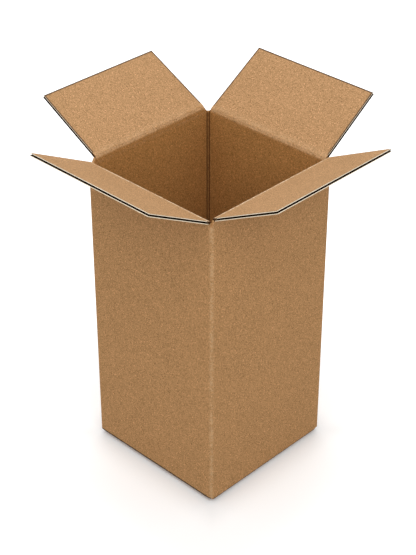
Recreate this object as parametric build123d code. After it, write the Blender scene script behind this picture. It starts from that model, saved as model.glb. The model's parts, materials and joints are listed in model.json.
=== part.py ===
from build123d import *
import math
import os

# An open shipping box folded from one sheet of corrugated board, square in plan and twice as tall.
# +Z is up and the origin is the middle of the footprint, on the floor. All sizes are in mm.

# The sheet.
board = 4.0
liner = 0.45
medium = 0.35
flute_pitch = 7.95
flute_crest_radius = 1.4

# The box, measured inside, from the upper bottom flap to the underside of the lower lid flaps.
inside_width = 203.0
inside_depth = 203.0
inside_height = 406.0

# Folds, slots and seams.
corner_radius = 4.5
corner_bead_radius = 1.6
score_groove_radius = 0.8
slot_half_width = 7.0
slot_drop = 3.0
seam_gap = 1.5
stack_gap = 0.3
crease_gap = 0.3
crushed_length = 9.0

# The glue tab, inside the front wall.
tab_width = 35.0
tab_thickness = 3.0
tab_end_gap = 8.0
tab_end_slope = 15.0

# How far each lid flap's side edges stand in from the corners at its crease, and how much
# further each one stands in at the free edge.
front_flap_inset = 4.5
back_flap_inset = 8.0
right_flap_inset = 4.5
left_flap_inset = 11.0
flap_taper = 2.0

# How far each lid flap leans out from upright, in degrees.
front_lean_angle = 62.0
back_lean_angle = 57.0
right_lean_angle = 63.0
left_lean_angle = 62.5

# What follows from those sizes.
outer_width = inside_width + 2 * board
outer_depth = inside_depth + 2 * board
lower_crease = inside_height + 3 * board
upper_crease = lower_crease + board + stack_gap
slot_top = lower_crease - slot_drop
slot_bottom = board + slot_drop

# How far a cutting shape reaches past what it cuts.
past = 2 * board

# Each side: its turn about Z, its outer face's distance from the middle, its bottom flap's
# width, its top crease, its bottom flap's underside and that fold's outer radius.
# The front and back flaps close first. The left and right ones lie over them, outside.
front_width = outer_width - 2 * slot_half_width
side_width = outer_depth - 2 * slot_half_width
sides = {
    "front": (0, outer_depth / 2, front_width, lower_crease, board, board),
    "right": (90, outer_width / 2, side_width, upper_crease, 0, 2 * board),
    "back": (180, outer_depth / 2, front_width, lower_crease, board, board),
    "left": (270, outer_width / 2, side_width, upper_crease, 0, 2 * board),
}
lid_widths = {
    "front": outer_width - 2 * front_flap_inset,
    "right": outer_depth - 2 * right_flap_inset,
    "back": outer_width - 2 * back_flap_inset,
    "left": outer_depth - 2 * left_flap_inset,
}
leans = {"front": front_lean_angle, "right": right_lean_angle, "back": back_lean_angle, "left": left_lean_angle}


def on_side(side, shape):
    """Moves a shape from a side's own frame: X along the wall, Y inwards from its outer face."""
    turn, reach = sides[side][:2]
    return Rot(0, 0, turn) * Pos(0, -reach, 0) * shape


def along_wall(points, length, arc=None):
    """A bar of the given length along X, centred, with its section drawn in Y and Z."""
    section = Polyline(*points, close=True) if arc is None else Polyline(*points) + arc
    return extrude(Plane.YZ * make_face(section), length / 2, both=True)


def wall_tube():
    """The four walls, with a rounded fold outside each corner and its bead and grooves inside."""
    ring = RectangleRounded(outer_width, outer_depth, corner_radius)
    ring -= Rectangle(inside_width, inside_depth)
    groove_step = corner_bead_radius + 0.6 * score_groove_radius
    for x_sign in (-1, 1):
        for y_sign in (-1, 1):
            x = x_sign * inside_width / 2
            y = y_sign * inside_depth / 2
            ring -= Pos(x - x_sign * groove_step, y) * Circle(score_groove_radius)
            ring -= Pos(x, y - y_sign * groove_step) * Circle(score_groove_radius)
            ring += Pos(x, y) * Circle(corner_bead_radius)
    return extrude(ring, upper_crease)


def crease_cutter(side):
    """What is cut off a wall's top, so that it slopes inwards and the flap can close on it."""
    crease = sides[side][3]
    low = crease - crease_gap / math.sqrt(2)
    top = upper_crease + past
    points = [(-past, low), (0, low), (past, low - past), (past, top), (-past, top)]
    return on_side(side, along_wall(points, lid_widths[side]))


def foot_cutter(side):
    """What is cut off below a wall, down from the underside of its own bottom flap."""
    width, _, underside = sides[side][2:5]
    points = [(-past, underside), (past, underside), (past, -past), (-past, -past)]
    return on_side(side, along_wall(points, width))


def fold_cutter(side):
    """The rounding outside the fold from a wall to its bottom flap."""
    width, _, underside, radius = sides[side][2:6]
    corner = [(0, underside + radius), (-past, underside + radius), (-past, underside - past)]
    corner += [(radius, underside - past), (radius, underside)]
    middle = (radius * (1 - math.sqrt(0.5)), underside + radius * (1 - math.sqrt(0.5)))
    arc = ThreePointArc(corner[-1], middle, corner[0])
    return on_side(side, along_wall(corner, width, arc))


def bottom_flap(side):
    """A bottom flap, glued flat, that stops half a seam short of the middle."""
    _, reach, width, _, underside, _ = sides[side]
    far = reach - seam_gap / 2
    top = underside + board
    points = [(0, underside), (far, underside), (far, top), (0, top)]
    return on_side(side, along_wall(points, width))


def corner_slots():
    """The slots between flaps, above and below each corner fold."""
    slots = []
    for x_sign, y_sign, wall_x, wall_y in (
        (-1, -1, "front", "left"), (1, -1, "front", "right"), (1, 1, "back", "right"), (-1, 1, "back", "left"),
    ):
        for width_x, width_y, level, up in (
            (lid_widths[wall_x], lid_widths[wall_y], slot_top, Align.MIN),
            (front_width, side_width, slot_bottom, Align.MAX),
        ):
            slot = Box(3 * past, 3 * past, 3 * past, align=(Align.MIN, Align.MIN, up))
            slot = Pos(width_x / 2, width_y / 2, level) * slot
            turned = slot if x_sign > 0 else mirror(slot, Plane.YZ)
            slots.append(turned if y_sign > 0 else mirror(turned, Plane.XZ))
    return slots


def glue_tab():
    """The tab that closes the sheet into a tube, glued inside the front wall at its left end."""
    low = 2 * board + tab_end_gap
    high = lower_crease - board - tab_end_gap
    drop = tab_width * math.tan(math.radians(tab_end_slope))
    start = -inside_width / 2
    points = [(start, low), (start + tab_width, low + drop)]
    points += [(start + tab_width, high - drop), (start, high)]
    outline = Plane.XZ * make_face(Polyline(*points, close=True))
    return on_side("front", Pos(0, board, 0) * extrude(outline, -tab_thickness))


def box_body():
    """Walls, bottom flaps and glue tab: one sheet, folded and glued."""
    body = wall_tube()
    body -= [crease_cutter(side) for side in sides]
    body -= [foot_cutter(side) for side in sides]
    body -= corner_slots()
    body += [bottom_flap(side) for side in sides]
    body -= [fold_cutter(side) for side in sides]
    return body + glue_tab()


def flute_channel():
    """The hollow between two crests, from the inner liner down to the medium, as a face in X and Y."""
    core = board - 2 * liner
    rise = core - medium
    half = flute_pitch / 2
    drop = rise - 2 * flute_crest_radius
    slope = math.atan2(drop, half) + math.asin(2 * flute_crest_radius / math.hypot(half, drop))
    radius = flute_crest_radius - medium / 2
    centre = liner + medium / 2 + flute_crest_radius
    low = (radius * math.sin(slope), centre - radius * math.cos(slope))
    top = board - liner
    wide = low[0] + (top - low[1]) / math.tan(slope)
    left_low = (-low[0], low[1])
    flanks = Polyline(left_low, (-wide, top), (wide, top), low)
    trough = ThreePointArc(low, (0, centre - radius), left_low)
    return make_face(flanks + trough)


def flute_channels(width, length):
    """The open channels of the board, which run up the flap and stop at its crushed foot."""
    upper = flute_channel()
    lower = Pos(flute_pitch / 2, board) * Rot(180, 0, 0) * upper
    count = math.ceil(width / 2 / flute_pitch)
    run = length - crushed_length
    channels = []
    for step in range(-count, count + 1):
        for face in (upper, lower):
            x = face.center().X + step * flute_pitch
            if abs(x) < width / 2 + flute_pitch / 4:
                start = Pos(step * flute_pitch, 0, crushed_length)
                channels.append(start * extrude(face, run + past, dir=(0, 0, 1)))
    return channels


def flap(side):
    """A lid flap: its crease is the X axis, along its outer face, and it leans out as it rests."""
    width = lid_widths[side]
    reach, crease = sides[side][1], sides[side][3]
    length = reach - seam_gap / 2
    low = crease_gap / math.sqrt(2)
    points = [(0, low), (board, low + board), (board, length), (0, length)]
    far = width / 2 - flap_taper
    outline = Polyline((-width / 2, 0), (width / 2, 0), (far, length), (-far, length), close=True)
    sheet = along_wall(points, width) & extrude(Plane.XZ * make_face(outline), -board)
    sheet -= flute_channels(width, length)
    return on_side(side, Pos(0, 0, crease) * Rot(leans[side], 0, 0) * sheet)


pieces = {"box_body": box_body()}
for side in sides:
    pieces["flap_" + side] = flap(side)

os.makedirs("parts", exist_ok=True)
for name, solid in pieces.items():
    solid.label = name
    export_step(solid, "parts/" + name + ".step")
    print(name, len(solid.solids()), round(solid.volume), solid.is_valid)
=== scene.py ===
import json
import math

import bmesh
import bpy
from mathutils import Matrix, Vector, noise


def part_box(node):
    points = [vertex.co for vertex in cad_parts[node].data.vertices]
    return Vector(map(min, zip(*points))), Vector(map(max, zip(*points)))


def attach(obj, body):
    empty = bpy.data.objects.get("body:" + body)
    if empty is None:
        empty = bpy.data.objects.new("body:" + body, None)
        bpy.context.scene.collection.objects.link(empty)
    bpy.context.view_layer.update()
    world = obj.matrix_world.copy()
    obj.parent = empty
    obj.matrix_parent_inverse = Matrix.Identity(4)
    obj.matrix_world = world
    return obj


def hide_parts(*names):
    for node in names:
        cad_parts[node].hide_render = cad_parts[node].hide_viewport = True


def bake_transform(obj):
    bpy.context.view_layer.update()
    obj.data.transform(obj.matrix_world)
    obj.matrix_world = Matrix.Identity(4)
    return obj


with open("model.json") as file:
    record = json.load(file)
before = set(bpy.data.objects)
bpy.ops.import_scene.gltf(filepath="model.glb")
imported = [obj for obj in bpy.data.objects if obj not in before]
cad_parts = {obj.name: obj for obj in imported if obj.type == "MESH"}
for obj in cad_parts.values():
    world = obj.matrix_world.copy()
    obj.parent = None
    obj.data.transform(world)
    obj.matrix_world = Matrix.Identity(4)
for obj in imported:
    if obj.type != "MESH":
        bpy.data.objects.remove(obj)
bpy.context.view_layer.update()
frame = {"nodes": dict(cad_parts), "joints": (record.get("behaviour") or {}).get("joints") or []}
print("frame loaded")

# An open box of corrugated kraft board. Everything is in metres.

board = {
    "thickness": 0.004,
    "liner": 0.0008,
    "medium": 0.0003,
    "flutePitch": 0.00795,
    "flapTaper": 0.002,  # how much further in each side edge stands at the free edge
    "outerStart": 0.0012,  # how far from its hinge line a flap's outer liner begins
    "outerRelief": 0.0001,  # how far the outer liner lies inside the board's face
}

up = Vector((0, 0, 1))
facing = 0.7  # a face looks along an axis where its normal has more than this of it


def sideOf(joint):
    # A lid flap's place: hinge line, directions, and the lean that it rests at.
    hinge, axis = Vector(joint["pos_m"]), Vector(joint["axis"])
    outward = axis.cross(up)
    lean = math.radians(-90 - joint["range_deg"][0])
    low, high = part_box(joint["child"])
    reach = max(abs((high - hinge).dot(outward)), abs((low - hinge).dot(outward)))
    return {
        "name": joint["child"].split("_")[1],
        "body": joint["child"],
        "hinge": hinge,
        "axis": axis,
        "outward": outward,
        "along": outward * math.sin(lean) + up * math.cos(lean),
        "inner": up * math.sin(lean) - outward * math.cos(lean),
        "lean": lean,
        "width": abs((high - low).dot(axis)),
        "length": reach / math.sin(lean),  # the outer liner's tip reaches furthest out
    }


sides = [sideOf(joint) for joint in frame["joints"]]
for side in sides:
    lean = round(math.degrees(side["lean"]), 1)
    print("flap", side["name"], round(side["width"], 4), round(side["length"], 5), lean)


# Node helpers, for shader and geometry trees alike.

def feed(tree, socket, value):
    # Links an output, or sets a plain value. None leaves the socket as it is.
    if isinstance(value, bpy.types.NodeSocket):
        tree.links.new(value, socket)
    elif value is not None:
        socket.default_value = value


def addNode(tree, kind, settings=None, **inputs):
    node = tree.nodes.new(kind)
    for key, value in (settings or {}).items():
        setattr(node, key, value)
    for key, value in inputs.items():
        feed(tree, node.inputs[key.replace("_", " ")], value)
    return node


def calc(tree, operation, *values):
    node = addNode(tree, "ShaderNodeMath", {"operation": operation})
    for socket, value in zip(node.inputs, values):
        feed(tree, socket, value)
    return node.outputs[0]


def vectorCalc(tree, operation, *values, result="Vector"):
    node = addNode(tree, "ShaderNodeVectorMath", {"operation": operation})
    for socket, value in zip(node.inputs, values):
        feed(tree, socket, value)
    return node.outputs[result]


def magnitude(tree, value):
    return calc(tree, "ABSOLUTE", value)


def ramp(tree, value, low, high, toLow=0.0, toHigh=1.0):
    node = addNode(tree, "ShaderNodeMapRange", {"interpolation_type": "SMOOTHSTEP"})
    for socket, number in zip(node.inputs, (value, low, high, toLow, toHigh)):
        feed(tree, socket, number)
    return node.outputs[0]


def noiseValue(tree, place, **inputs):
    return addNode(tree, "ShaderNodeTexNoise", Vector=place, **inputs).outputs[0]


def split(tree, vector):
    return addNode(tree, "ShaderNodeSeparateXYZ", Vector=vector).outputs


def join(tree, x, y, z):
    return addNode(tree, "ShaderNodeCombineXYZ", X=x, Y=y, Z=z).outputs[0]


def mixValue(tree, share, first, second):
    node = addNode(tree, "ShaderNodeMix", Factor=share)
    feed(tree, node.inputs[2], first)
    feed(tree, node.inputs[3], second)
    return node.outputs[0]


def mixColour(tree, share, first, second, blend="MIX"):
    node = addNode(tree, "ShaderNodeMix", {"data_type": "RGBA", "blend_type": blend})
    feed(tree, node.inputs[0], share)
    feed(tree, node.inputs[6], first)
    feed(tree, node.inputs[7], second)
    return node.outputs[2]


def newGroup(name, inputs, outputs, kind="ShaderNodeTree"):
    # An input with no value here is a vector, and is always linked.
    tree = bpy.data.node_groups.new(name, kind)
    for label, value in inputs.items():
        socketType = "NodeSocketVector" if value is None else "NodeSocketFloat"
        socket = tree.interface.new_socket(label, in_out="INPUT", socket_type=socketType)
        if value is not None:
            socket.default_value = value
    for label, socketType in outputs.items():
        tree.interface.new_socket(label, in_out="OUTPUT", socket_type=socketType)
    return tree, tree.nodes.new("NodeGroupInput").outputs, tree.nodes.new("NodeGroupOutput").inputs


def useGroup(tree, group, **inputs):
    node = addNode(tree, "ShaderNodeGroup", {"node_tree": group})
    for key, value in inputs.items():
        feed(tree, node.inputs[key], value)
    return node.outputs


# Shared finishes: paper fibre, flutes that show through, and wear along folds.

fibre = {
    "fineScale": 950.0,
    "strandScale": 480.0,
    "strandStretch": (1.0, 1.0, 0.6),
    "strandShare": 0.6,
    "cloudScale": 24.0,
    "fleckScale": 860.0,
    "fleckShift": (0.7, 0.3, 0.5),
    "darkFlecks": {"low": 0.60, "high": 0.72, "toHigh": -0.34},
    "paleFlecks": {"low": 0.42, "high": 0.30, "toHigh": 0.42},
}


def makeFibreGroup():
    # Kraft pulp: fine grain, longer strands, clouds, and a few dark and pale flecks.
    tree, given, out = newGroup(
        "paperFibre",
        {"place": None, "grain": 0.5, "mottle": 0.5},
        {"tone": "NodeSocketFloat", "height": "NodeSocketFloat"},
    )
    stretched = vectorCalc(tree, "MULTIPLY", given["place"], fibre["strandStretch"])
    moved = vectorCalc(tree, "ADD", given["place"], fibre["fleckShift"])
    fine = noiseValue(tree, given["place"], Scale=fibre["fineScale"], Detail=2.0, Roughness=0.6)
    strands = noiseValue(tree, stretched, Scale=fibre["strandScale"], Detail=2.0, Distortion=1.5)
    cloud = noiseValue(tree, given["place"], Scale=fibre["cloudScale"], Detail=3.0)
    fleck = noiseValue(tree, moved, Scale=fibre["fleckScale"], Detail=1.0, Distortion=1.0)
    strandTone = calc(tree, "MULTIPLY", calc(tree, "SUBTRACT", strands, 0.5), fibre["strandShare"])
    grain = calc(tree, "ADD", calc(tree, "SUBTRACT", fine, 0.5), strandTone)
    for flecks in (fibre["darkFlecks"], fibre["paleFlecks"]):
        grain = calc(tree, "ADD", grain, ramp(tree, fleck, **flecks))
    grain = calc(tree, "MULTIPLY", grain, given["grain"])
    mottle = calc(tree, "MULTIPLY", calc(tree, "SUBTRACT", cloud, 0.5), given["mottle"])
    feed(tree, out["tone"], calc(tree, "ADD", 1.0, calc(tree, "ADD", grain, mottle)))
    feed(tree, out["height"], calc(tree, "ADD", fine, strands))
    return tree


fluteShow = {
    "patchScale": 14.0,
    "patches": {"low": 0.35, "high": 0.7, "toLow": 0.2},
}


def makeFluteGroup():
    # The flutes show through faintly, and more so in some patches.
    tree, given, out = newGroup(
        "fluteShow",
        {"across": 0.0, "place": None, "depth": 0.02},
        {"tone": "NodeSocketFloat", "height": "NodeSocketFloat"},
    )
    turns = calc(tree, "MULTIPLY", given["across"], 2 * math.pi / board["flutePitch"])
    patch = noiseValue(tree, given["place"], Scale=fluteShow["patchScale"], Detail=2.0)
    share = ramp(tree, patch, **fluteShow["patches"])
    shown = calc(tree, "MULTIPLY", calc(tree, "SINE", turns), share)
    feed(tree, out["tone"], calc(tree, "ADD", 1.0, calc(tree, "MULTIPLY", shown, given["depth"])))
    feed(tree, out["height"], shown)
    return tree


wear = {
    "scatterScale": 400.0,
    "clusterScale": 60.0,
    "clusterShare": 0.5,
    "spots": {"low": 0.66, "high": 0.86, "toLow": 0.15},
}


def makeWearGroup():
    # near is the distance in metres from a fold. The wear fades with it, broken up into spots.
    tree, given, out = newGroup(
        "foldWear",
        {"near": 1.0, "place": None, "reach": 0.004, "amount": 0.5},
        {"worn": "NodeSocketFloat"},
    )
    scatter = noiseValue(tree, given["place"], Scale=wear["scatterScale"], Detail=2.0, Roughness=0.6)
    cluster = noiseValue(tree, given["place"], Scale=wear["clusterScale"], Detail=2.0)
    broken = calc(tree, "ADD", scatter, calc(tree, "MULTIPLY", cluster, wear["clusterShare"]))
    close = ramp(tree, calc(tree, "DIVIDE", given["near"], given["reach"]), 0.0, 1.0, 1.0, 0.0)
    spots = ramp(tree, broken, **wear["spots"])
    worn = calc(tree, "MULTIPLY", calc(tree, "MULTIPLY", close, spots), given["amount"])
    feed(tree, out["worn"], worn)
    return tree


fibreGroup = makeFibreGroup()
fluteGroup = makeFluteGroup()
wearGroup = makeWearGroup()

kraft = {
    "colour": (0.440, 0.248, 0.110, 1),
    "wallColour": (0.440, 0.235, 0.092, 1),
    "insideColour": (0.452, 0.227, 0.068, 1),
    "wornColour": (0.66, 0.44, 0.25, 1),
    "cutColour": (0.98, 0.84, 0.64, 1),
    # painted shade: the fluted medium and the faces in its hollows are near black
    "mediumShadeColour": (0.022, 0.012, 0.006, 1),
    "scoreShadeColour": (0.14, 0.057, 0.014, 1),
    "footShadeColour": (0.02, 0.01, 0.004, 1),
    "rubbedHighlightColour": (0.86, 0.67, 0.45, 1),
    "creaseEndShadeColour": (0.07, 0.035, 0.015, 1),
    "cutShadeColour": (0.09, 0.045, 0.017, 1),
    "roughness": 0.82,
    "specular": 0.25,
    "grain": 1.55,
    "mottle": 0.14,
    "blueGrain": 1.25,  # the grain is this much stronger in blue, so dark fibre is warmer
    "fluteDepth": 0.012,
    "cutShadeCore": 0.4,  # the share of the painted shade band beside a cut that is fully dark
    "bump": 0.3,
    "bumpDistance": 0.0006,
    "fibreHeight": 0.06,
    "fluteHeight": 0.1,
}


def newMaterial(name, specular=kraft["specular"]):
    material = bpy.data.materials.new(name)
    material.use_nodes = True
    tree = material.node_tree
    shader = tree.nodes["Principled BSDF"]
    shader.inputs["Roughness"].default_value = kraft["roughness"]
    shader.inputs["Specular IOR Level"].default_value = specular
    return material, tree, shader


def finishKraft(tree, shader, colour, point, across, worn, grain, wornColour):
    # Puts fibre, flutes and wear on a paper colour, with a bump to match.
    fibreOut = useGroup(tree, fibreGroup, place=point, grain=grain, mottle=kraft["mottle"])
    fluteOut = useGroup(tree, fluteGroup, across=across, place=point, depth=kraft["fluteDepth"])
    tone = calc(tree, "MULTIPLY", fibreOut["tone"], fluteOut["tone"])
    blue = calc(tree, "POWER", tone, kraft["blueGrain"])
    shade = addNode(tree, "ShaderNodeCombineColor", Red=tone, Green=tone, Blue=blue).outputs[0]
    paper = mixColour(tree, 1.0, colour, shade, "MULTIPLY")
    feed(tree, shader.inputs["Base Color"], mixColour(tree, worn, paper, wornColour))
    fibreHeight = calc(tree, "MULTIPLY", fibreOut["height"], kraft["fibreHeight"])
    fluteHeight = calc(tree, "MULTIPLY", fluteOut["height"], kraft["fluteHeight"])
    height = calc(tree, "ADD", fibreHeight, fluteHeight)
    bump = addNode(
        tree, "ShaderNodeBump", Strength=kraft["bump"], Distance=kraft["bumpDistance"], Height=height)
    feed(tree, shader.inputs["Normal"], bump.outputs[0])


def objectPlace(tree):
    return tree.nodes.new("ShaderNodeTexCoord").outputs["Object"]


# The walls and the glued bottom.

corner = {
    "bead": 0.0016,
    "score": 0.0008,
    "scoreOffset": 0.6,  # how far each groove's middle is from the bead, as a share of its radius
    "scoreEdge": {"full": 1.05, "none": 1.6, "dark": 0.85},  # where it fades, in groove radii
    "insideFace": {"from": 0.5, "to": 0.9},  # as shares of the board, from the outer face
    "wearReach": 0.0062,
    "wear": 0.58,
    "otherWear": 0.4,  # the other corners' share of the wear at the front corner
    "growth": {"from": 1.0, "to": 1.8},  # where towards that corner it grows, in half widths
    "rimReach": 0.012,
    "rimWear": 0.3,
    "footEdge": 0.0056,
    "footFade": 0.0008,
    "footDark": 0.97,
    "footRise": 0.72,  # as a share of the board
}


def scoreShade(tree, place, half):
    # The share of painted shade, which is highest in the two score grooves beside each corner's inner
    # bead.
    inside = half - board["thickness"]
    groove = inside - corner["bead"] - corner["scoreOffset"] * corner["score"]
    flat = join(tree, magnitude(tree, place["X"]), magnitude(tree, place["Y"]), 0.0)
    first = vectorCalc(tree, "DISTANCE", flat, (groove, inside, 0.0), result="Value")
    second = vectorCalc(tree, "DISTANCE", flat, (inside, groove, 0.0), result="Value")
    near = calc(tree, "MINIMUM", first, second)
    edge = corner["scoreEdge"]
    full, none = corner["score"] * edge["full"], corner["score"] * edge["none"]
    return ramp(tree, near, full, none, edge["dark"], 0.0)


def footShade(tree, height, fromX, fromY):
    # The share of painted shade, low on each wall. The front and back walls' bottom folds are a little
    # higher.
    frontOrBack = calc(tree, "LESS_THAN", fromY, fromX)
    rise = calc(tree, "MULTIPLY", frontOrBack, board["thickness"] * corner["footRise"])
    above = calc(tree, "SUBTRACT", calc(tree, "SUBTRACT", height, rise), corner["footEdge"])
    fade = corner["footFade"] / 2
    return ramp(tree, above, -fade, fade, corner["footDark"], 0.0)


def bodyWear(tree, point, place, fromX, fromY, half, top):
    # The corner folds and the rim are rubbed, the corner between front and right most of all.
    fold = useGroup(
        tree, wearGroup, near=calc(tree, "MAXIMUM", fromX, fromY), place=point,
        reach=corner["wearReach"], amount=corner["wear"])["worn"]
    frontward = calc(tree, "SUBTRACT", place["X"], place["Y"])
    growth = corner["growth"]
    share = ramp(tree, frontward, half * growth["from"], half * growth["to"], corner["otherWear"], 1.0)
    rim = useGroup(
        tree, wearGroup, near=magnitude(tree, calc(tree, "SUBTRACT", top, place["Z"])), place=point,
        reach=corner["rimReach"], amount=corner["rimWear"])["worn"]
    return calc(tree, "MAXIMUM", calc(tree, "MULTIPLY", fold, share), rim)


def makeBodyMaterial():
    # Flutes run upright, the inside is browner, folds are rubbed, and score grooves and feet get
    # painted shade.
    material, tree, shader = newMaterial("kraftWalls")
    point = objectPlace(tree)
    place = split(tree, point)
    normal = tree.nodes.new("ShaderNodeNewGeometry").outputs["Normal"]
    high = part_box("box_body")[1]
    half = high.x
    fromX = calc(tree, "SUBTRACT", half, magnitude(tree, place["X"]))
    fromY = calc(tree, "SUBTRACT", half, magnitude(tree, place["Y"]))
    onSide = calc(tree, "GREATER_THAN", magnitude(tree, split(tree, normal)["X"]), facing)
    across = mixValue(tree, onSide, place["X"], place["Y"])
    face = corner["insideFace"]
    inside = ramp(
        tree, calc(tree, "MINIMUM", fromX, fromY),
        board["thickness"] * face["from"], board["thickness"] * face["to"])
    grooveShade = scoreShade(tree, place, half)
    outside = calc(tree, "SUBTRACT", 1.0, inside)
    # Painted shade: a near-black band low on the bottom folds, where the walls meet the floor.
    paintedFootShade = calc(tree, "MULTIPLY", footShade(tree, place["Z"], fromX, fromY), outside)
    colour = mixColour(tree, inside, kraft["wallColour"], kraft["insideColour"])
    # Painted shade in the score grooves.
    colour = mixColour(tree, grooveShade, colour, kraft["scoreShadeColour"])
    colour = mixColour(tree, paintedFootShade, colour, kraft["footShadeColour"])
    unshaded = calc(tree, "SUBTRACT", 1.0, calc(tree, "MAXIMUM", grooveShade, paintedFootShade))
    worn = calc(tree, "MULTIPLY", bodyWear(tree, point, place, fromX, fromY, half, high.z), unshaded)
    finishKraft(tree, shader, colour, point, across, worn, kraft["grain"], kraft["wornColour"])
    return material


wallMaterial = makeBodyMaterial()
walls = frame["nodes"]["box_body"]
walls.data.materials.clear()
walls.data.materials.append(wallMaterial)


# The lid flaps' papers. Each is worn near the crease, within its reach. Over the crease a paper
# may start in the inside's colour, and one with painted shade beside its cuts is darker there.

papers = {
    "kraftLiner": {"colour": kraft["colour"], "reach": 0.012, "wear": 0.22, "shadedBesideCut": True},
    "kraftCrease": {
        "colour": kraft["colour"], "reach": 0.007, "wear": 0.48, "start": kraft["insideColour"],
    },
    # A pale line along the crease: part wear, part painted highlight.
    "kraftCreaseRubbedHighlight": {
        "colour": kraft["colour"], "reach": 0.0062, "wear": 2.2, "start": kraft["insideColour"],
        "wornColour": kraft["rubbedHighlightColour"],
    },
    "kraftCreaseSkin": {"colour": kraft["wallColour"], "reach": 0.003, "wear": 0.35},
    "kraftCutEdge": {"colour": kraft["cutColour"], "reach": 0.002, "wear": 0.0, "grain": 0.5},
    "kraftMediumShade": {
        "colour": kraft["mediumShadeColour"], "reach": 0.002, "wear": 0.0, "grain": 0.5, "specular": 0.0,
    },
    "kraftCreaseEndShade": {
        "colour": kraft["creaseEndShadeColour"], "reach": 0.002, "wear": 0.0, "grain": 0.8, "specular": 0.0,
    },
}


def attribute(tree, name):
    return addNode(tree, "ShaderNodeAttribute", {"attribute_name": name}).outputs["Fac"]


def makePaper(name):
    # Its attributes say how far each point is along the crease, from it and from the cuts.
    paper = papers[name]
    material, tree, shader = newMaterial(name, paper.get("specular", kraft["specular"]))
    point = objectPlace(tree)
    fromCrease = attribute(tree, "fromCrease")
    colour = paper["colour"]
    worn = useGroup(
        tree, wearGroup, near=magnitude(tree, fromCrease), place=point,
        reach=paper["reach"], amount=paper["wear"])["worn"]
    if paper.get("start"):
        onFlap = ramp(tree, fromCrease, -board["thickness"], board["thickness"])
        colour = mixColour(tree, onFlap, paper["start"], colour)
        worn = calc(tree, "MULTIPLY", worn, onFlap)
    if paper.get("shadedBesideCut"):
        # Painted shade darkens the paper just beside each cut. The attribute is 1 where that ends.
        shadedBesideCut = ramp(tree, attribute(tree, "fromCut"), kraft["cutShadeCore"], 1.0, 1.0, 0.0)
        colour = mixColour(tree, shadedBesideCut, colour, kraft["cutShadeColour"])
    grain = paper.get("grain", kraft["grain"])
    wornColour = paper.get("wornColour", kraft["wornColour"])
    finishKraft(tree, shader, colour, point, attribute(tree, "across"), worn, grain, wornColour)
    return material


paperMaterials = {name: makePaper(name) for name in papers}
print("materials made")


# The lid flaps' board, from two geometry trees: a pair of liners, and the fluted medium between.

sheet = {
    "linerGrid": (120, 60),
    "linerRough": (0.00016, 0.00016, 0.00006),  # the range that a point moves in, along each axis
    "linerRoughScale": 220.0,
    "mediumGrid": (380, 24),
    "mediumRough": (0.0003, 0.0005, 0.0),
    "mediumRoughScale": 150.0,
    "liningDepth": 0.7,  # inside this share of a liner its faces line the flutes
    "cutShadeReach": 0.0009,  # how far the painted shade reaches beside the cuts
    # on the back and left flaps the painted shade beside the cuts reaches further
    "shadedCutReach": 0.0024,
    "shadedCutFlaps": ("back", "left"),
}


def newGeometryTree(name, inputs):
    sizes = {"width": 0.2, "length": 0.1, "taper": 0.002, "thickness": 0.004, "liner": 0.0005}
    return newGroup(name, {**sizes, **inputs}, {"Geometry": "NodeSocketGeometry"}, "GeometryNodeTree")


def pointPlace(tree):
    return tree.nodes.new("GeometryNodeInputPosition").outputs[0]


def slab(tree, given, start, thickness, top, grid):
    # A thin closed sheet from start to the free edge along Y, with its top face at a depth.
    width, length = given["width"], given["length"]
    size = join(tree, width, calc(tree, "SUBTRACT", length, start), thickness)
    cube = addNode(
        tree, "GeometryNodeMeshCube", Size=size, Vertices_X=grid[0], Vertices_Y=grid[1], Vertices_Z=2)
    middleY = calc(tree, "MULTIPLY", calc(tree, "ADD", length, start), 0.5)
    middleZ = calc(tree, "ADD", top, calc(tree, "MULTIPLY", thickness, 0.5))
    place = join(tree, 0.0, middleY, middleZ)
    moved = addNode(tree, "GeometryNodeTransform", Geometry=cube.outputs["Mesh"], Translation=place)
    return moved.outputs[0]


def roughen(tree, geometry, amount, scale, shift):
    # Moves the points a little, as cut paper is never dead straight, and then by the shift.
    texture = addNode(tree, "ShaderNodeTexNoise", Vector=pointPlace(tree), Scale=scale, Detail=2.0)
    centred = vectorCalc(tree, "SUBTRACT", texture.outputs["Color"], (0.5, 0.5, 0.5))
    offset = vectorCalc(tree, "ADD", vectorCalc(tree, "MULTIPLY", centred, amount), shift)
    return addNode(tree, "GeometryNodeSetPosition", Geometry=geometry, Offset=offset).outputs[0]


def taperShift(tree, given):
    # Draws the side edges in towards the free edge.
    place = split(tree, pointPlace(tree))
    share = calc(tree, "DIVIDE", place["X"], calc(tree, "MULTIPLY", given["width"], 0.5))
    drawn = calc(tree, "MULTIPLY", calc(tree, "DIVIDE", place["Y"], given["length"]), given["taper"])
    inwards = calc(tree, "MULTIPLY", calc(tree, "MULTIPLY", share, drawn), -1.0)
    return join(tree, inwards, 0.0, 0.0)


def realize(tree, geometry):
    return addNode(tree, "GeometryNodeRealizeInstances", Geometry=geometry).outputs[0]


def setPaper(tree, geometry, name, selection=None):
    node = addNode(tree, "GeometryNodeSetMaterial", Geometry=geometry, Material=paperMaterials[name])
    feed(tree, node.inputs["Selection"], selection)
    return node.outputs[0]


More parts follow.
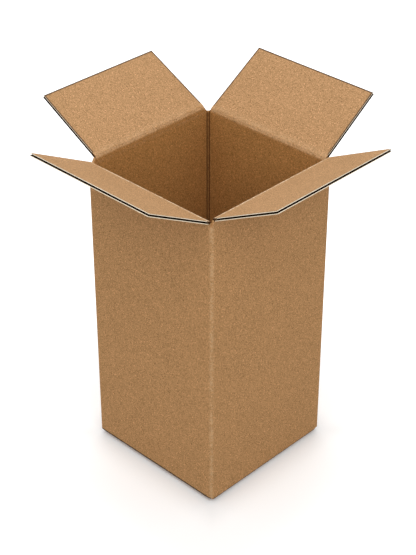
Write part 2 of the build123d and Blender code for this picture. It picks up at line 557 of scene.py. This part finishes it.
def paintLiners(tree, given, geometry):
    # The cut edges are pale, and the faces that line the flutes are painted near black: painted shade
    # in the hollows. On a flap with shaded side cuts the outer liner's side cuts get that painted shade
    # too.
    normal = split(tree, tree.nodes.new("GeometryNodeInputNormal").outputs[0])
    edge = calc(tree, "LESS_THAN", magnitude(tree, normal["Z"]), facing)
    sideCut = calc(tree, "GREATER_THAN", magnitude(tree, normal["X"]), facing)
    depth = split(tree, pointPlace(tree))["Z"]
    half = calc(tree, "MULTIPLY", given["thickness"], 0.5)
    fromMiddle = magnitude(tree, calc(tree, "SUBTRACT", depth, half))
    reach = calc(tree, "SUBTRACT", half, calc(tree, "MULTIPLY", given["liner"], sheet["liningDepth"]))
    lining = calc(tree, "LESS_THAN", fromMiddle, reach)
    # Painted shade: on the back and left flaps the outer liner's side cuts are near black.
    outerCut = calc(tree, "MULTIPLY", sideCut, calc(tree, "GREATER_THAN", depth, half))
    shadedSideCuts = calc(tree, "GREATER_THAN", calc(tree, "MULTIPLY", outerCut, given["shadedSideCuts"]), 0.5)
    painted = setPaper(tree, geometry, "kraftLiner")
    painted = setPaper(tree, painted, "kraftMediumShade", lining)
    painted = setPaper(tree, painted, "kraftCutEdge", edge)
    return setPaper(tree, painted, "kraftMediumShade", shadedSideCuts)


def makeLinerTree():
    inputs = {"outerStart": 0.001, "outerRelief": 0.0001, "shadedSideCuts": 0.0}
    tree, given, sink = newGeometryTree("linerPair", inputs)
    inner = slab(tree, given, given["thickness"], given["liner"], 0.0, sheet["linerGrid"])
    # The outer liner lies a hair inside the board's face, so that a flap can hang flat on its wall.
    outerTop = calc(tree, "SUBTRACT", given["thickness"], given["liner"])
    outerTop = calc(tree, "SUBTRACT", outerTop, given["outerRelief"])
    outer = slab(tree, given, given["outerStart"], given["liner"], outerTop, sheet["linerGrid"])
    both = addNode(tree, "GeometryNodeJoinGeometry")
    tree.links.new(inner, both.inputs[0])
    tree.links.new(outer, both.inputs[0])
    shift = taperShift(tree, given)
    rough = roughen(tree, both.outputs[0], sheet["linerRough"], sheet["linerRoughScale"], shift)
    feed(tree, sink["Geometry"], paintLiners(tree, given, realize(tree, rough)))
    return tree


def makeFluteTree():
    tree, given, sink = newGeometryTree("flutedMedium", {"medium": 0.0003, "pitch": 0.008})
    inside = calc(tree, "SUBTRACT", given["thickness"], calc(tree, "MULTIPLY", given["liner"], 2.0))
    rise = calc(tree, "MULTIPLY", calc(tree, "SUBTRACT", inside, given["medium"]), 0.5)
    top = calc(tree, "MULTIPLY", calc(tree, "SUBTRACT", given["thickness"], given["medium"]), 0.5)
    flat = slab(tree, given, given["thickness"], given["medium"], top, sheet["mediumGrid"])
    across = split(tree, pointPlace(tree))["X"]
    turns = calc(tree, "MULTIPLY", calc(tree, "DIVIDE", across, given["pitch"]), 2 * math.pi)
    wave = join(tree, 0.0, 0.0, calc(tree, "MULTIPLY", calc(tree, "SINE", turns), rise))
    shift = vectorCalc(tree, "ADD", wave, taperShift(tree, given))
    rough = roughen(tree, flat, sheet["mediumRough"], sheet["mediumRoughScale"], shift)
    # The medium is near black: painted shade in the flute hollows.
    feed(tree, sink["Geometry"], setPaper(tree, realize(tree, rough), "kraftMediumShade"))
    return tree


linerTree = makeLinerTree()
fluteTree = makeFluteTree()


def addToScene(name, mesh):
    piece = bpy.data.objects.new(name, mesh)
    bpy.context.scene.collection.objects.link(piece)
    return piece


def fromTree(name, tree, values):
    # A plain mesh object made by a geometry tree with these values.
    maker = addToScene(name + "Maker", bpy.data.meshes.new(name + "Maker"))
    modifier = maker.modifiers.new("tree", "NODES")
    modifier.node_group = tree
    for item in tree.interface.items_tree:
        if item.in_out == "INPUT" and item.name in values:
            modifier[item.identifier] = values[item.name]
    bpy.context.view_layer.update()
    evaluated = maker.evaluated_get(bpy.context.evaluated_depsgraph_get())
    mesh = bpy.data.meshes.new_from_object(evaluated)
    mesh.name = name
    bpy.data.objects.remove(maker)
    return addToScene(name, mesh)


def storeSheetPlace(piece, side):
    # Attributes for the papers: metres along the crease, metres from it, and the distance from
    # the nearest cut as a share of how far the painted shade beside the cuts reaches there.
    mesh = piece.data
    across = mesh.attributes.new("across", "FLOAT", "POINT")
    fromCrease = mesh.attributes.new("fromCrease", "FLOAT", "POINT")
    fromCut = mesh.attributes.new("fromCut", "FLOAT", "POINT")
    reach = sheet["shadedCutReach"] if side["name"] in sheet["shadedCutFlaps"] else sheet["cutShadeReach"]
    for index, vertex in enumerate(mesh.vertices):
        away = vertex.co - side["hinge"]
        sideways = away.dot(side["axis"])
        onFlap = away.dot(side["along"])
        halfWidth = side["width"] / 2 - board["flapTaper"] * onFlap / side["length"]
        across.data[index].value = sideways
        fromCrease.data[index].value = onFlap if onFlap > 0 else away.z
        fromCut.data[index].value = min(halfWidth - abs(sideways), side["length"] - onFlap) / reach


def flapMatrix(side):
    # Columns: along the crease, out along the flap, and down from its inner face.
    start = side["hinge"] + side["inner"] * board["thickness"]
    columns = (side["axis"], side["along"], -side["inner"], start)
    return Matrix([[column[row] for column in columns] for row in range(3)] + [[0, 0, 0, 1]])


def makeFlap(side):
    values = {
        "width": side["width"],
        "length": side["length"],
        "thickness": board["thickness"],
        "liner": board["liner"],
        "medium": board["medium"],
        "pitch": board["flutePitch"],
        "outerStart": board["outerStart"],
        "outerRelief": board["outerRelief"],
        "taper": board["flapTaper"],
        "shadedSideCuts": 1.0 if side["name"] in sheet["shadedCutFlaps"] else 0.0,
    }
    liners = fromTree("liners_" + side["name"], linerTree, values)
    flutes = fromTree("flutes_" + side["name"], fluteTree, values)
    for piece in (liners, flutes):
        piece.data.transform(flapMatrix(side))
        storeSheetPlace(piece, side)
        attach(piece, side["body"])
    liners.data.shade_flat()
    flutes.data.shade_smooth()
    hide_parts(side["body"])


for side in sides:
    makeFlap(side)
print("flaps made")


# The creases: the crushed board between wall and flap.

crease = {
    "highlightedFlaps": ("front", "right"),  # these creases get a pale line: part wear, part painted highlight
    "steps": 150,
    "arcPoints": 12,
    "sharpAngle": 25,
    "proud": 0.00005,
    "sunk": 0.0001,
    "overlap": 0.002,
    "crush": 0.0005,
    "crumple": 0.00016,
    "crumpleScale": 260,
    "seed": 7,
    "bend": 1.4,  # a span each way from the hinge line, in board thicknesses
    "skin": 0.0003,
    "skinProud": 1.5,  # times as proud as the inner liner
    "skinReach": 0.0035,
    "skinTurn": 0.0004,  # how near to the hinge line the skin's outer face stays straight
    "skinBend": 0.0009,
}


def meshFrom(name, mesh, materials):
    # Turns the faces outwards and makes an object of the mesh.
    bmesh.ops.recalc_face_normals(mesh, faces=mesh.faces)
    data = bpy.data.meshes.new(name)
    mesh.to_mesh(data)
    mesh.free()
    for material in materials:
        data.materials.append(material)
    return addToScene(name, data)


def barAlong(name, side, section, crumple, material, capMaterial):
    # A closed bar along the crease. Each point of its section is in inward and upward metres from
    # the hinge, with the share of the crumpling that it takes.
    mesh = bmesh.new()
    inward = -side["outward"]
    rings = []
    for step in range(crease["steps"] + 1):
        along = (step / crease["steps"] - 0.5) * side["width"]
        ring = []
        for y, z, free in section:
            point = side["hinge"] + side["axis"] * along + inward * y + up * z
            wobble = noise.noise_vector(point * crease["crumpleScale"]) * crumple * free
            ring.append(mesh.verts.new(point + wobble))
        rings.append(ring)
    count = len(section)
    for first, second in zip(rings, rings[1:]):
        for index in range(count):
            after = (index + 1) % count
            mesh.faces.new((first[index], first[after], second[after], second[index]))
    for cap in (mesh.faces.new(rings[0][::-1]), mesh.faces.new(rings[-1])):
        cap.material_index = 1
    piece = meshFrom(name, mesh, (material, capMaterial))
    storeSheetPlace(piece, side)
    return piece


def onLean(lean, depth, reach, free=0.0):
    # A section point on the flap, at a depth inside its outer face and a reach from its hinge.
    inward = depth * math.cos(lean) - reach * math.sin(lean)
    return inward, depth * math.sin(lean) + reach * math.cos(lean), free


def creaseSection(side):
    # The inner liner's path over the fold, closed through the hinge line.
    thickness = board["thickness"] + crease["proud"]
    sunk = board["thickness"] - crease["sunk"]
    lean = side["lean"]
    path = [(sunk, -thickness - crease["overlap"], 0.0), (thickness, -thickness, 0.0)]
    for step in range(crease["arcPoints"] + 1):
        share = step / crease["arcPoints"]
        angle = share * lean
        crushed = thickness - crease["crush"] * math.sin(math.pi * share)
        path.append((crushed * math.cos(angle), crushed * math.sin(angle), 1.0))
    path.append(onLean(lean, thickness, thickness))
    path.append(onLean(lean, sunk, thickness + crease["overlap"]))
    path.append((0.0, 0.0, 0.0))
    return path


def skinSection(side):
    # The outer liner, just proud of both outer faces, and sharply folded at the hinge line.
    lean = side["lean"]
    proud, thick = crease["proud"] * crease["skinProud"], crease["skin"]
    reach, turn = crease["skinReach"], crease["skinTurn"]
    path = [(-proud, -reach, 0.0), (-proud, -turn, 0.0)]
    path += [onLean(lean, -proud, turn), onLean(lean, -proud, reach), onLean(lean, thick, reach)]
    path += [(thick, 0.0, 0.0), (thick, -reach, 0.0)]
    return path


def makeCrease(side):
    # The bar and its outer skin, each reaching between wall and flap over its own span.
    # The front and right creases get a pale line, part wear and part painted highlight.
    rubbedAndLit = side["name"] in crease["highlightedFlaps"]
    paper = paperMaterials["kraftCreaseRubbedHighlight" if rubbedAndLit else "kraftCrease"]
    # The bar's end caps are dark: painted shade in the open ends of the crushed board.
    ends, outer = paperMaterials["kraftCreaseEndShade"], paperMaterials["kraftCreaseSkin"]
    fill = barAlong("crease_" + side["name"], side, creaseSection(side), crease["crumple"], paper, ends)
    fill.data.shade_smooth()
    fill.data.set_sharp_from_angle(angle=math.radians(crease["sharpAngle"]))
    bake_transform(fill)
    skin = barAlong("creaseSkin_" + side["name"], side, skinSection(side), 0.0, outer, outer)
    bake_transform(skin)


noise.seed_set(crease["seed"])  # the crumpling is the same each run
for side in sides:
    makeCrease(side)
print("creases made")


# The corner slots: crushed shoulders rise from each corner fold to the ends of the creases.

shoulder = {
    "drop": 0.003,
    "clear": 0.0004,
    "sink": 0.0012,
    "rise": 0.0012,
    "curve": 6,
    "power": 1.6,
    "foldReach": 0.75,  # as a share of the board, in from the corner
    "faceDepth": 0.0003,
}


def shoulderOutline(side, half, slotFloor):
    # Metres along the crease from its middle, and heights: a curve up from the corner fold.
    near = side["width"] / 2 + shoulder["clear"]
    far = half - board["thickness"] * shoulder["foldReach"]
    outline = [(near, slotFloor - shoulder["sink"]), (far, slotFloor - shoulder["sink"])]
    for step in range(shoulder["curve"] + 1):
        share = step / shoulder["curve"]
        height = (side["hinge"].z + shoulder["rise"] - slotFloor) * share ** shoulder["power"]
        outline.append((far + (near - far) * share, slotFloor + height))
    return outline


def makeShoulders():
    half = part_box("box_body")[1].x
    slotFloor = min(side["hinge"].z for side in sides) - shoulder["drop"]
    depths = (shoulder["faceDepth"], board["thickness"] - shoulder["faceDepth"])
    mesh = bmesh.new()
    for side in sides:
        outline = shoulderOutline(side, half, slotFloor)
        for end in (-1, 1):
            faces = []
            for depth in depths:
                ring = []
                for away, z in outline:
                    point = side["hinge"] + side["axis"] * (end * away) - side["outward"] * depth
                    ring.append(mesh.verts.new((point.x, point.y, z)))
                faces.append(ring)
            outer, inner = faces
            mesh.faces.new(outer)
            mesh.faces.new(inner[::-1])
            for index in range(len(outline)):
                after = (index + 1) % len(outline)
                mesh.faces.new((outer[index], inner[index], inner[after], outer[after]))
    piece = meshFrom("slotShoulders", mesh, (wallMaterial,))
    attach(piece, "box")


makeShoulders()
print("slot shoulders made")


# Floor, light and camera.

studio = {
    "worldStrength": 0.65,
    "floorHalf": 12.0,
    "floorLevel": -0.0003,
    "floorSeen": (0.9, 0.9, 0.9, 1),
    "floorLit": (0.7, 0.7, 0.7, 1),
    "underBox": 0.098,
    "nearGlow": {"low": 0.074, "high": 0.15, "toHigh": 0.26},
    "farGlow": {"low": 0.18, "high": 0.36, "toHigh": 0.36},
    "topLight": {"turn": 5.0, "rise": 60.0, "distance": 2.4, "size": 1.4, "energy": 7.8},
    "fillLight": {"turn": 60.0, "rise": 45.0, "distance": 2.8, "size": 1.8, "energy": 18.7},
    "backLight": {"turn": 225.0, "rise": 65.0, "distance": 2.4, "size": 1.8, "energy": 17.4},
    "aimHeight": 0.25,
}


def seenPlainly(tree):
    # 1 for rays that show the backdrop itself, not its light on the box.
    paths = tree.nodes.new("ShaderNodeLightPath").outputs
    mirrored = calc(tree, "MAXIMUM", paths["Is Glossy Ray"], paths["Is Transmission Ray"])
    return calc(tree, "MAXIMUM", paths["Is Camera Ray"], mirrored)


def makeFloorMaterial():
    material = bpy.data.materials.new("paleFloor")
    material.use_nodes = True
    tree = material.node_tree
    shader = tree.nodes["Principled BSDF"]
    shader.inputs["Roughness"].default_value = 1.0
    shader.inputs["Specular IOR Level"].default_value = 0.0
    plainly = seenPlainly(tree)
    colour = mixColour(tree, plainly, studio["floorLit"], studio["floorSeen"])
    feed(tree, shader.inputs["Base Color"], colour)
    place = split(tree, objectPlace(tree))
    # The floor glows to the camera, less near the box: painted light, and a painted shadow round its
    # foot.
    fromMiddle = calc(tree, "MAXIMUM", magnitude(tree, place["X"]), magnitude(tree, place["Y"]))
    near = ramp(tree, fromMiddle, **studio["nearGlow"])
    far = ramp(tree, fromMiddle, **studio["farGlow"])
    glow = calc(tree, "MULTIPLY", calc(tree, "ADD", near, far), plainly)
    feed(tree, shader.inputs["Emission Strength"], glow)
    shader.inputs["Emission Color"].default_value = (1, 1, 1, 1)
    # From below the floor is clear to the camera, and under the box it lets light through, so that
    # the box's bottom can be looked at.
    below = tree.nodes.new("ShaderNodeNewGeometry").outputs["Backfacing"]
    seen = tree.nodes.new("ShaderNodeLightPath").outputs["Is Camera Ray"]
    beside = calc(tree, "GREATER_THAN", fromMiddle, studio["underBox"])
    solid = mixValue(tree, seen, beside, calc(tree, "SUBTRACT", 1.0, below))
    feed(tree, shader.inputs["Alpha"], solid)
    return material


def makeFloor():
    mesh = bpy.data.meshes.new("floor")
    half, level = studio["floorHalf"], studio["floorLevel"]
    corners = [(-half, -half, level), (half, -half, level), (half, half, level), (-half, half, level)]
    mesh.from_pydata(corners, [], [(0, 1, 2, 3)])
    mesh.materials.append(makeFloorMaterial())
    floor = addToScene("floor", mesh)


def makeWorld():
    # White to look at, and dimmer as a light on the box.
    world = bpy.data.worlds.new("studio")
    bpy.context.scene.world = world
    world.use_nodes = True
    tree = world.node_tree
    lit = tree.nodes["Background"]
    lit.inputs["Color"].default_value = (1, 1, 1, 1)
    lit.inputs["Strength"].default_value = studio["worldStrength"]
    white = addNode(tree, "ShaderNodeBackground", Color=(1, 1, 1, 1), Strength=1.0)
    mix = addNode(tree, "ShaderNodeMixShader")
    feed(tree, mix.inputs[0], seenPlainly(tree))
    tree.links.new(lit.outputs[0], mix.inputs[1])
    tree.links.new(white.outputs[0], mix.inputs[2])
    tree.links.new(mix.outputs[0], tree.nodes["World Output"].inputs[0])


def towards(turn, rise):
    # A direction from the box: turned from the front wall's side towards the right wall's, and up.
    turn, rise = math.radians(turn), math.radians(rise)
    return Vector((math.sin(turn) * math.cos(rise), -math.cos(turn) * math.cos(rise), math.sin(rise)))


def addLamp(name):
    lamp = studio[name]
    data = bpy.data.lights.new(name, "AREA")
    data.shape = "DISK"
    data.size = lamp["size"]
    data.energy = lamp["energy"]
    out = towards(lamp["turn"], lamp["rise"])
    light = addToScene(name, data)
    light.location = up * studio["aimHeight"] + out * lamp["distance"]
    light.rotation_euler = (-out).to_track_quat("-Z", "Y").to_euler()


view = {
    "azimuth": 44.2,
    "elevation": 33.2,
    "distance": 1.9015,
    "targetHeight": 0.251,
    "sideways": -0.0022,
    "lens": 96.3,
    "sensor": 36,
}


def makeCamera():
    back = towards(view["azimuth"], view["elevation"])
    right = up.cross(back).normalized()
    data = bpy.data.cameras.new("camera")
    data.lens = view["lens"]
    data.sensor_width = view["sensor"]
    camera = addToScene("camera", data)
    camera.location = up * view["targetHeight"] + right * view["sideways"] + back * view["distance"]
    camera.rotation_euler = (-back).to_track_quat("-Z", "Y").to_euler()
    bpy.context.scene.camera = camera


makeFloor()
makeWorld()
for name in ("topLight", "fillLight", "backLight"):
    addLamp(name)
makeCamera()
bpy.context.scene.view_settings.view_transform = "Standard"
print("stage made")
